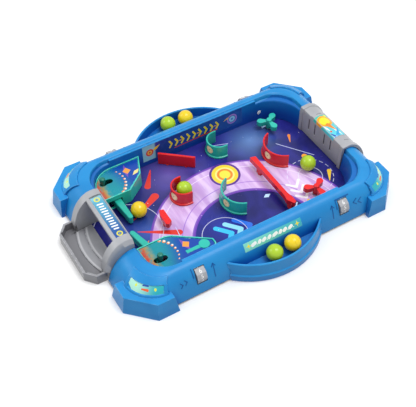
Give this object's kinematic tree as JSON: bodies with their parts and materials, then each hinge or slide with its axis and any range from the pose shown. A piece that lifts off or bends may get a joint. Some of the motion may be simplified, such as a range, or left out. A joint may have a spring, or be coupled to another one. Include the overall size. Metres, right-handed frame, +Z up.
{
  "type": "tabletop pinball game",
  "caption": "Tabletop pinball game: hollow frame on corner feet, playfield with bumpers, rails and spinners, finger flippers, score drums, side ball pockets and a ball return tray.",
  "frame": {"origin": "centre of the plan on the ground", "axes": "+Z up, +Y from the player towards the back grip, +X to the player's right"},
  "size_m": [0.245, 0.335, 0.045],
  "materials": {
    "blue_plastic": "satin moulded",
    "grey_plastic": "satin moulded",
    "teal_plastic": "satin moulded",
    "red_plastic": "satin moulded",
    "printed_board": "printed, semi-gloss",
    "black_plastic": "fine grain",
    "zinc_steel": "zinc plated",
    "green_ball": "glossy",
    "yellow_ball": "glossy"
  },
  "bodies": {
    "game": {"frame_shell": "blue_plastic", "corner_foot_right_front": "blue_plastic", "corner_foot_right_back": "blue_plastic", "corner_foot_left_front": "blue_plastic", "corner_foot_left_back": "blue_plastic", "side_pocket_right": "blue_plastic", "side_pocket_left": "blue_plastic", "return_arch": "grey_plastic", "return_tray": "grey_plastic", "back_grip": "grey_plastic", "flipper_housing_right": "teal_plastic", "flipper_housing_left": "teal_plastic", "housing_lid_right": "teal_plastic", "housing_lid_left": "teal_plastic", "cup_bumper_teal": "teal_plastic", "wide_bumper_teal": "teal_plastic", "cup_bumper_red": "red_plastic", "wide_bumper_red": "red_plastic", "guide_wall": "red_plastic", "long_rail": "red_plastic", "short_rail": "red_plastic", "playfield_board": "printed_board", "base_cover": "black_plastic", "drum_bracket_right_front": "black_plastic", "drum_bracket_right_back": "black_plastic", "drum_bracket_left_front": "black_plastic", "drum_bracket_left_back": "black_plastic", "pivot_pin_right": "zinc_steel", "pivot_pin_left": "zinc_steel", "spinner_teal_pin": "zinc_steel", "spinner_red_pin": "zinc_steel", "base_screw_1": "zinc_steel", "base_screw_2": "zinc_steel", "base_screw_3": "zinc_steel", "base_screw_4": "zinc_steel", "base_screw_5": "zinc_steel", "base_screw_6": "zinc_steel"},
    "flipper_right": {"flipper_right": "teal_plastic", "finger_peg_right": "teal_plastic"},
    "flipper_left": {"flipper_left": "teal_plastic", "finger_peg_left": "teal_plastic"},
    "spinner_teal": {"spinner_teal": "teal_plastic"},
    "spinner_red": {"spinner_red": "red_plastic"},
    "drum_right_front": {"score_drum_right_front": "grey_plastic"},
    "drum_right_back": {"score_drum_right_back": "grey_plastic"},
    "drum_left_front": {"score_drum_left_front": "grey_plastic"},
    "drum_left_back": {"score_drum_left_back": "grey_plastic"},
    "ball_upper": {"ball_upper": "green_ball"},
    "ball_in_cup": {"ball_in_cup": "green_ball"},
    "ball_lower": {"ball_lower": "yellow_ball"},
    "ball_right_green": {"ball_right_green": "green_ball"},
    "ball_right_yellow": {"ball_right_yellow": "yellow_ball"},
    "ball_left_green": {"ball_left_green": "green_ball"},
    "ball_left_yellow": {"ball_left_yellow": "yellow_ball"}
  },
  "joints": [
    {"name": "flipper_right_swing", "type": "hinge", "parent": "game", "child": "flipper_right", "pos_m": [0.044, -0.0977, 0.012], "axis": [0, 0, 1], "range_deg": [-14, 18]},
    {"name": "flipper_left_swing", "type": "hinge", "parent": "game", "child": "flipper_left", "pos_m": [-0.044, -0.0977, 0.012], "axis": [0, 0, 1], "range_deg": [-32, 0]},
    {"name": "spinner_teal_turn", "type": "hinge", "parent": "game", "child": "spinner_teal", "pos_m": [-0.056, 0.1031, 0.012], "axis": [0, 0, 1], "continuous": true},
    {"name": "spinner_red_turn", "type": "hinge", "parent": "game", "child": "spinner_red", "pos_m": [0.054, 0.08938, 0.012], "axis": [0, 0, 1], "continuous": true},
    {"name": "drum_right_front_turn", "type": "hinge", "parent": "game", "child": "drum_right_front", "pos_m": [0.0891, -0.0752, 0.0196], "axis": [0, 1, 0], "continuous": true},
    {"name": "drum_right_back_turn", "type": "hinge", "parent": "game", "child": "drum_right_back", "pos_m": [0.0891, 0.0928, 0.0196], "axis": [0, 1, 0], "continuous": true},
    {"name": "drum_left_front_turn", "type": "hinge", "parent": "game", "child": "drum_left_front", "pos_m": [-0.0891, -0.0752, 0.0196], "axis": [0, 1, 0], "continuous": true},
    {"name": "drum_left_back_turn", "type": "hinge", "parent": "game", "child": "drum_left_back", "pos_m": [-0.0891, 0.0928, 0.0196], "axis": [0, 1, 0], "continuous": true},
    {"name": "ball_upper_roll", "type": "slide", "parent": "game", "child": "ball_upper", "axis": [0, 1, 0], "range_m": [-0.02, 0.018]},
    {"name": "ball_in_cup_roll", "type": "slide", "parent": "game", "child": "ball_in_cup", "axis": [0, 1, 0], "range_m": [0, 0.03]},
    {"name": "ball_lower_roll", "type": "slide", "parent": "game", "child": "ball_lower", "axis": [0, 1, 0], "range_m": [0, 0.0215]},
    {"name": "ball_right_green_roll", "type": "slide", "parent": "game", "child": "ball_right_green", "axis": [-0.1407, -0.9901, 0], "range_m": [0, 0.0085]},
    {"name": "ball_right_yellow_roll", "type": "slide", "parent": "game", "child": "ball_right_yellow", "axis": [0, 1, 0], "range_m": [-0.004, 0.0022]},
    {"name": "ball_left_green_roll", "type": "slide", "parent": "game", "child": "ball_left_green", "axis": [0.1407, -0.9901, 0], "range_m": [0, 0.0085]},
    {"name": "ball_left_yellow_roll", "type": "slide", "parent": "game", "child": "ball_left_yellow", "axis": [0, 1, 0], "range_m": [-0.004, 0.0022]}
  ]
}
